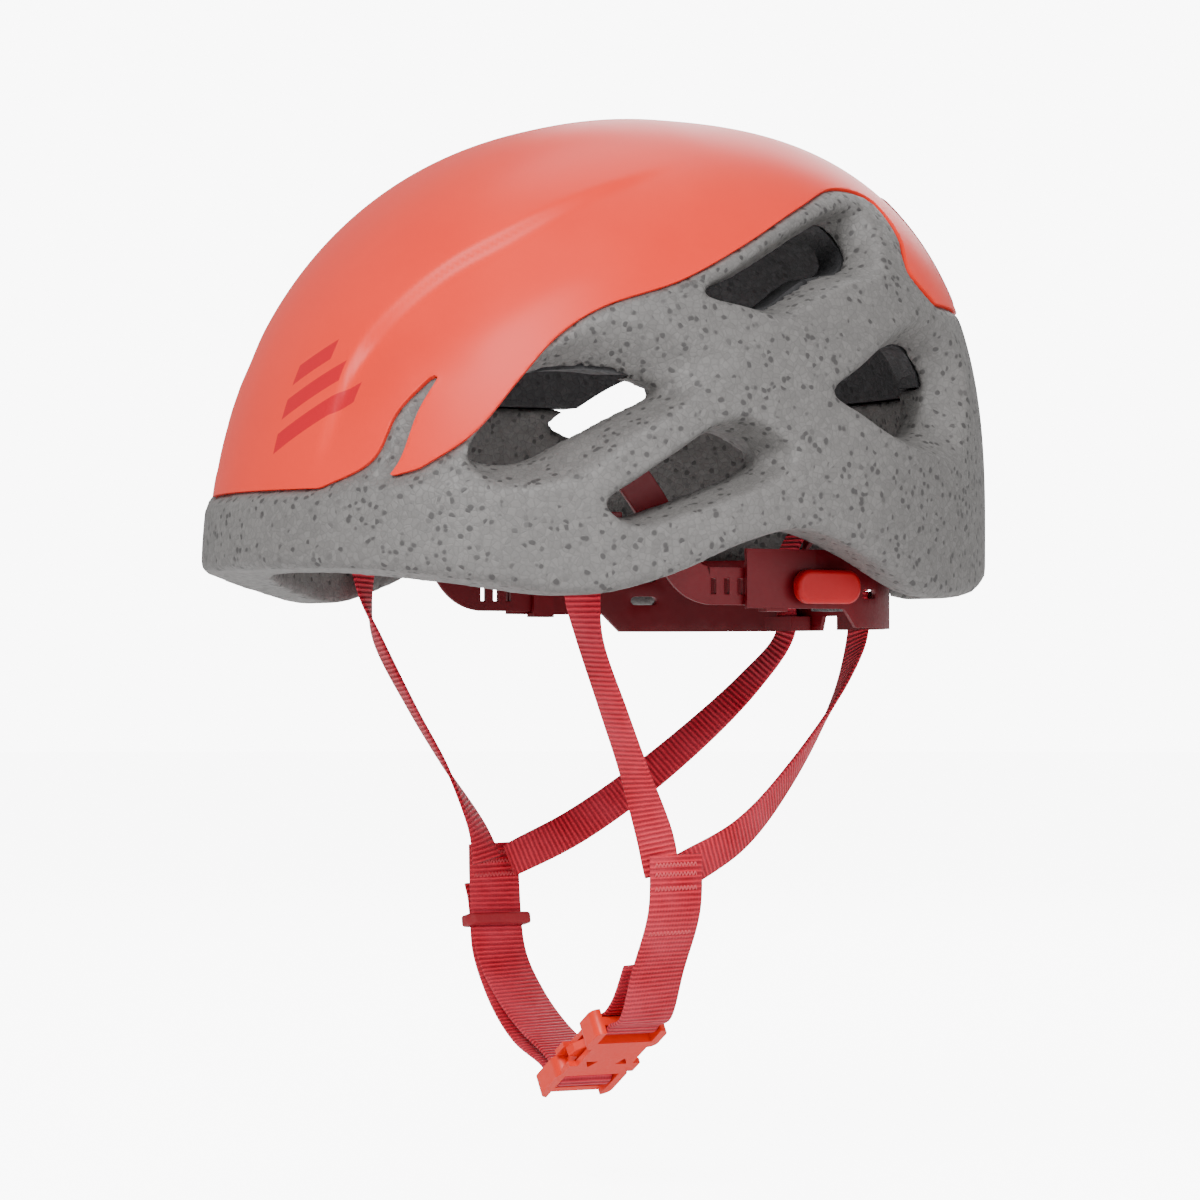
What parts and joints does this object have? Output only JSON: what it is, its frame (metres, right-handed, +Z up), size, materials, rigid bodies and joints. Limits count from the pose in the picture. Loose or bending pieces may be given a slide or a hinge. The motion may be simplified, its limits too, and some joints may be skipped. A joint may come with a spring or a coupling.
{
  "type": "climbing helmet",
  "caption": "Climbing helmet with a hard crown shell over a vented bead-foam liner, a sliding nape adjuster, lamp clips and a webbing chin strap with a side-release buckle.",
  "frame": {"origin": "centre of the head opening, level with the brow edge of the foam", "axes": "+Z up through the crown, -Y towards the front, +X towards the wearer's left"},
  "size_m": [0.2238, 0.2669, 0.325],
  "materials": {
    "shell": "satin orange-red moulded shell",
    "bead_foam": "speckled grey bead foam",
    "crown_foam": "charcoal bead foam",
    "padding": "soft brushed knit",
    "adjuster": "dark crimson moulding",
    "finger_pad": "satin red moulding",
    "buckle": "orange-red moulding",
    "webbing": "ribbed crimson webbing",
    "keeper": "crimson elastic",
    "lamp_clip": "crimson moulding"
  },
  "bodies": {
    "helmet": {"crown_shell": "shell", "outer_liner": "bead_foam", "crown_liner": "crown_foam", "brow_pad": "padding", "left_crown_pad": "padding", "right_crown_pad": "padding", "left_temple_anchor": "adjuster", "right_temple_anchor": "adjuster", "left_hanger": "adjuster", "right_hanger": "adjuster", "left_hanger_anchor": "adjuster", "right_hanger_anchor": "adjuster", "left_strap_anchor": "adjuster", "right_strap_anchor": "adjuster", "buckle_female": "buckle", "left_front_strap": "webbing", "right_front_strap": "webbing", "left_rear_strap": "webbing", "right_rear_strap": "webbing", "left_chin_strap": "webbing", "right_chin_strap": "webbing", "right_strap_tail": "webbing"},
    "arms": {"left_arm": "adjuster", "right_arm": "adjuster"},
    "yoke": {"nape_yoke": "adjuster", "nape_pad": "padding"},
    "left_button": {"left_fit_button": "finger_pad"},
    "right_button": {"right_fit_button": "finger_pad"},
    "buckle_tongue": {"buckle_male": "buckle"},
    "front_prong": {"buckle_prong_front": "buckle"},
    "rear_prong": {"buckle_prong_rear": "buckle"},
    "keeper": {"strap_keeper": "keeper"},
    "left_clip": {"left_lamp_clip": "lamp_clip"},
    "right_clip": {"right_lamp_clip": "lamp_clip"}
  },
  "joints": [
    {"name": "cradle_tilt", "type": "hinge", "parent": "helmet", "child": "arms", "pos_m": [0, -0.04, 0.037], "axis": [1, 0, 0], "range_deg": [-8, 4], "stiffness_Nm_per_rad": 0.6, "deforming": ["left_hanger", "right_hanger", "left_rear_strap", "right_rear_strap"]},
    {"name": "fit_slide", "type": "slide", "parent": "arms", "child": "yoke", "axis": [0, -1, 0], "range_m": [0, 0.016]},
    {"name": "left_button_press", "type": "slide", "parent": "yoke", "child": "left_button", "axis": [-1, 0, 0], "range_m": [0, 0.0015], "stiffness_N_per_m": 800},
    {"name": "right_button_press", "type": "slide", "parent": "yoke", "child": "right_button", "axis": [1, 0, 0], "range_m": [0, 0.0015], "stiffness_N_per_m": 800},
    {"name": "buckle_release", "type": "slide", "parent": "helmet", "child": "buckle_tongue", "axis": [-0.848, 0, -0.5299], "range_m": [0, 0.028], "deforming": ["right_chin_strap", "right_strap_tail"]},
    {"name": "front_prong_squeeze", "type": "hinge", "parent": "buckle_tongue", "child": "front_prong", "pos_m": [0.00282, -0.0122, -0.16224], "axis": [-0.5299, 0, 0.848], "range_deg": [0, 8], "stiffness_Nm_per_rad": 0.3},
    {"name": "rear_prong_squeeze", "type": "hinge", "parent": "buckle_tongue", "child": "rear_prong", "pos_m": [0.00282, 0.0042, -0.16224], "axis": [0.5299, 0, -0.848], "range_deg": [0, 8], "stiffness_Nm_per_rad": 0.3},
    {"name": "keeper_slide", "type": "slide", "parent": "helmet", "child": "keeper", "axis": [-0.2, 0, 0.9798], "range_m": [-0.004, 0.004]},
    {"name": "left_clip_flex", "type": "hinge", "parent": "helmet", "child": "left_clip", "pos_m": [0.02693, 0.09038, 0.12115], "axis": [0.9417, -0.3365, 0], "range_deg": [0, 8], "stiffness_Nm_per_rad": 0.2},
    {"name": "right_clip_flex", "type": "hinge", "parent": "helmet", "child": "right_clip", "pos_m": [-0.02693, 0.09038, 0.12115], "axis": [0.9417, 0.3365, 0], "range_deg": [0, 8], "stiffness_Nm_per_rad": 0.2}
  ]
}
